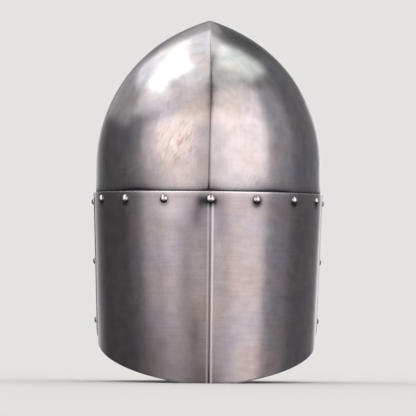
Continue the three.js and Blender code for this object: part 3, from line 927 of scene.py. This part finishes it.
sheets = [crown_piece(), back_plate_piece(), face_plate_piece()]
rivets = []
for i, run in enumerate(BACK_ROW_RUNS):
    rivets.append(rivet_piece(f"back_rivet_{i + 1}", BACK, run, -ROW_DROP, GAP + SHEET, GAP + 2 * SHEET))
for i, run in enumerate(FACE_ROW_RUNS):
    seat = float(face_offset(run)) + SHEET
    rivets.append(rivet_piece(f"face_rivet_{i + 1}", FACE, run, -ROW_DROP, seat, seat + SHEET))
for side, name in ((1, "left_seam_rivet"), (-1, "right_seam_rivet")):
    for i, drop in enumerate(SEAM_DROPS):
        seat = 2 * (SHEET + GAP)
        grip = seat + SHEET if drop < CROWN_SKIRT else seat - GAP
        run = side * (FACE.length - SEAM_BEFORE_SIDE)
        rivets.append(rivet_piece(f"{name}_{i + 1}", FACE, run, -drop, seat, grip))
for piece in sheets:
    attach(piece, "root")
for piece in rivets:
    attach(piece, "root")

# Studio, in metres: a pale floor, a pale room, soft lights

FLOOR_HALF = 6
floor_corners = [(x * FLOOR_HALF, y * FLOOR_HALF, 0) for x, y in ((-1, -1), (1, -1), (1, 1), (-1, 1))]
floor_mesh = bpy.data.meshes.new("pale_floor")
floor_mesh.from_pydata(floor_corners, [], [(0, 1, 2, 3)])
floor_mesh.materials.append(floor_paint)
floor = bpy.data.objects.new("pale_floor", floor_mesh)
scene.collection.objects.link(floor)
floor.visible_glossy = False
floor.visible_shadow = False

# The room: pale to look at, and in the steel dark all round but for a bright wall before the face
world = bpy.data.worlds.new("pale_room")
world.use_nodes = True
tree = world.node_tree
tree.nodes.clear()
way = add_node(tree, "ShaderNodeTexCoord").outputs["Object"]
split = add_node(tree, "ShaderNodeSeparateXYZ", {"Vector": way})
depth = add_node(tree, "ShaderNodeMapRange", {"Value": split.outputs["Y"], "From Min": -1.0, "From Max": 1.0})
tones = add_node(tree, "ShaderNodeValToRGB", {"Fac": depth.outputs["Result"]}, [
    (0.0, grey(1.0)), (0.035, grey(0.8)), (0.075, grey(0.24)), (0.15, grey(0.07)), (0.3, grey(0.025)),
    (1.0, grey(0.025))])
# Well below level the steel sees the pale floor
down = add_node(tree, "ShaderNodeMapRange", {
    "Value": split.outputs["Z"], "From Min": -0.44, "From Max": -0.64}, interpolation_type="SMOOTHSTEP")
floored = add_node(tree, "ShaderNodeMix", {
    "Factor": down.outputs["Result"], UNDER: tones.outputs["Color"], OVER: grey(0.42)}, **LAID_OVER)
reflected = add_node(tree, "ShaderNodeBackground", {"Color": floored.outputs[MIXED], "Strength": 1.0})
seen = add_node(tree, "ShaderNodeBackground", {"Color": hex_to_linear("e4e3e2"), "Strength": 1.0})
shed = add_node(tree, "ShaderNodeBackground", {"Color": hex_to_linear("fdfcfb"), "Strength": 1.0})
ray = add_node(tree, "ShaderNodeLightPath")
lit = add_node(tree, "ShaderNodeMixShader", {
    0: ray.outputs["Is Camera Ray"], 1: shed.outputs["Background"], 2: seen.outputs["Background"]})
room = add_node(tree, "ShaderNodeMixShader", {
    0: ray.outputs["Is Glossy Ray"], 1: lit.outputs["Shader"], 2: reflected.outputs["Background"]})
add_node(tree, "ShaderNodeOutputWorld", {"Surface": room.outputs["Shader"]})
scene.world = world

# Softboxes: azimuth from straight behind the helm towards the wearer's left and height above level, in
# degrees, width and height in metres, how bright the box's face is, and its colour. They show in the steel
# and give no light to matt surfaces.
SOFTBOX_AWAY = 2
SOFTBOX_AIM = np.array([0, 0, 0.2])
SOFTBOXES = {
    "panel_right": (-48, 0, 1.3, 2.0, 1.42, "fff6f5"),
    "panel_right_inner": (-15, 4, 1.07, 2.26, 1.02, "fff6f5"),
    "panel_left_inner": (15, 4, 1.07, 2.26, 0.7, "fff2ee"),
    "panel_left": (46, 13, 1.09, 1.0, 1.58, "fff4ef"),
    "panel_left_low": (44, -14, 1.03, 0.89, 1.14, "fff4f2"),
    "panel_left_edge": (68, -1, 0.49, 2.0, 0.8, "fcf4f6"),
    "side_right": (-78, 9, 1.06, 3.07, 0.32, "f8f4ff"),
    "side_right_back": (-116, 13, 1.8, 3.4, 0.105, "f4f4ff"),
    "rim_right": (-157, 4, 0.5, 1.6, 0.7, "f8f6ff"),
    "side_left": (83, 6, 0.6, 1.4, 0.16, "f8f4ff"),
    "side_left_back": (106, 6, 0.8, 2.2, 0.055, "f4f4ff"),
    "upper_right": (-44, 37, 1.34, 0.85, 1.1, "fff4f0"),
    "upper_middle_left": (43, 37, 1.27, 0.85, 0.8, "fff4ee"),
    "upper_left": (79, 39, 0.9, 0.66, 1.0, "fffaf8"),
    "upper_left_back": (123, 36, 1.85, 0.7, 0.3, "fafaff"),
    "overhead_middle_right": (-45, 61, 0.8, 0.89, 0.72, "fcfffc"),
    "overhead_middle_left": (44, 61, 0.76, 0.89, 1.0, "ffffff"),
    "overhead_right": (-92, 66, 0.85, 0.9, 1.12, "f4fff6"),
    "overhead_left": (87, 58, 0.81, 0.92, 2.0, "ffffff"),
    "overhead_left_back": (125, 56, 0.77, 0.92, 1.1, "ffffff"),
    "overhead_top": (147, 80, 1.2, 1.2, 1.05, "ffffff"),
    "overhead_back": (160, 57, 1.3, 0.8, 0.32, "ffffff"),
}
for name, (azimuth, height, wide, tall, bright, colour) in SOFTBOXES.items():
    a, e = math.radians(azimuth), math.radians(height)
    outward = np.array([math.sin(a) * math.cos(e), math.cos(a) * math.cos(e), math.sin(e)])
    light = bpy.data.lights.new(name, "AREA")
    light.shape = "RECTANGLE"
    light.size = wide
    light.size_y = tall
    light.energy = bright * math.pi * wide * tall
    light.color = hex_to_linear(colour)[:3]
    softbox = bpy.data.objects.new(name, light)
    softbox.location = SOFTBOX_AIM + SOFTBOX_AWAY * outward
    softbox.rotation_mode = "QUATERNION"
    softbox.rotation_quaternion = Vector((-outward).tolist()).to_track_quat("-Z", "Y")
    softbox.visible_camera = False
    softbox.visible_diffuse = False
    scene.collection.objects.link(softbox)

# Camera, in upright millimetres: behind the helm and square to its axis. The helm leans back, so this eye is
# close above the floor. At the axis the picture is as many millimetres wide as it has pixels. What the camera
# sees from and to is in metres, and the sensor in its own millimetres.
CAMERA_AIM = np.array([0, 0, -14.3])
CAMERA_AWAY = 850.0
CAMERA_TURN = math.radians(1.0)
CAMERA_ROLL = math.radians(0.4)
CAMERA_SEES_FROM = 0.05
CAMERA_SEES_TO = 50.0
PICTURE_WIDTH = 416
SENSOR_WIDTH = 36.0
eye = at_rest(CAMERA_AIM + CAMERA_AWAY * np.array([math.sin(CAMERA_TURN), math.cos(CAMERA_TURN), 0]))
ahead = Vector((at_rest(CAMERA_AIM) - eye).tolist())
camera_data = bpy.data.cameras.new("photo_camera")
camera_data.sensor_width = SENSOR_WIDTH
camera_data.lens = SENSOR_WIDTH * CAMERA_AWAY / PICTURE_WIDTH
camera_data.clip_start = CAMERA_SEES_FROM
camera_data.clip_end = CAMERA_SEES_TO
camera = bpy.data.objects.new("photo_camera", camera_data)
camera.location = eye
camera.rotation_mode = "QUATERNION"
camera.rotation_quaternion = ahead.to_track_quat("-Z", "Y") @ Quaternion((0, 0, 1), CAMERA_ROLL)
scene.collection.objects.link(camera)
scene.camera = camera
scene.view_settings.view_transform = "Standard"
